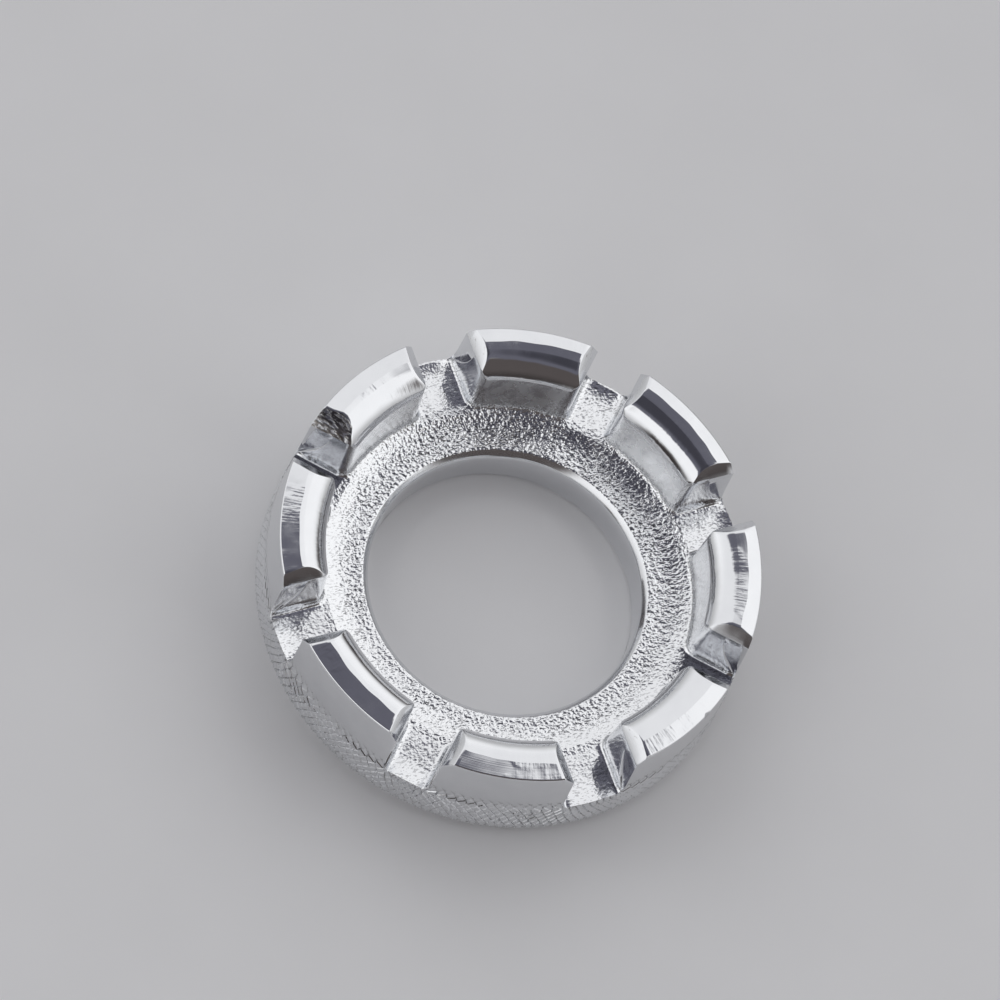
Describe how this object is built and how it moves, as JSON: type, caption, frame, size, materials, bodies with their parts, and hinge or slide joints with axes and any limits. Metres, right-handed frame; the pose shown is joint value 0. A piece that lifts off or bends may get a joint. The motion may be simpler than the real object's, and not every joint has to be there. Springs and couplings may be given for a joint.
{
  "type": "spoke wrench",
  "caption": "Round one-piece spoke wrench: a chromed ring with a plain centre bore, a knurled rim and nipple slots of graded width between lugs on one face.",
  "frame": {"origin": "centre of the flat bottom face, on the axis of the ring", "axes": "+Z along the ring's axis, from the bottom face to the lug tops; +X through the middle of slot 1"},
  "size_m": [0.045, 0.045, 0.0119],
  "materials": {
    "chrome": "bright chrome plate: mirror smooth on the lugs and the wall, grainy as cast on the web, knurled on the rim"
  },
  "bodies": {
    "root": {"wrench_body": "chrome"}
  },
  "joints": []
}
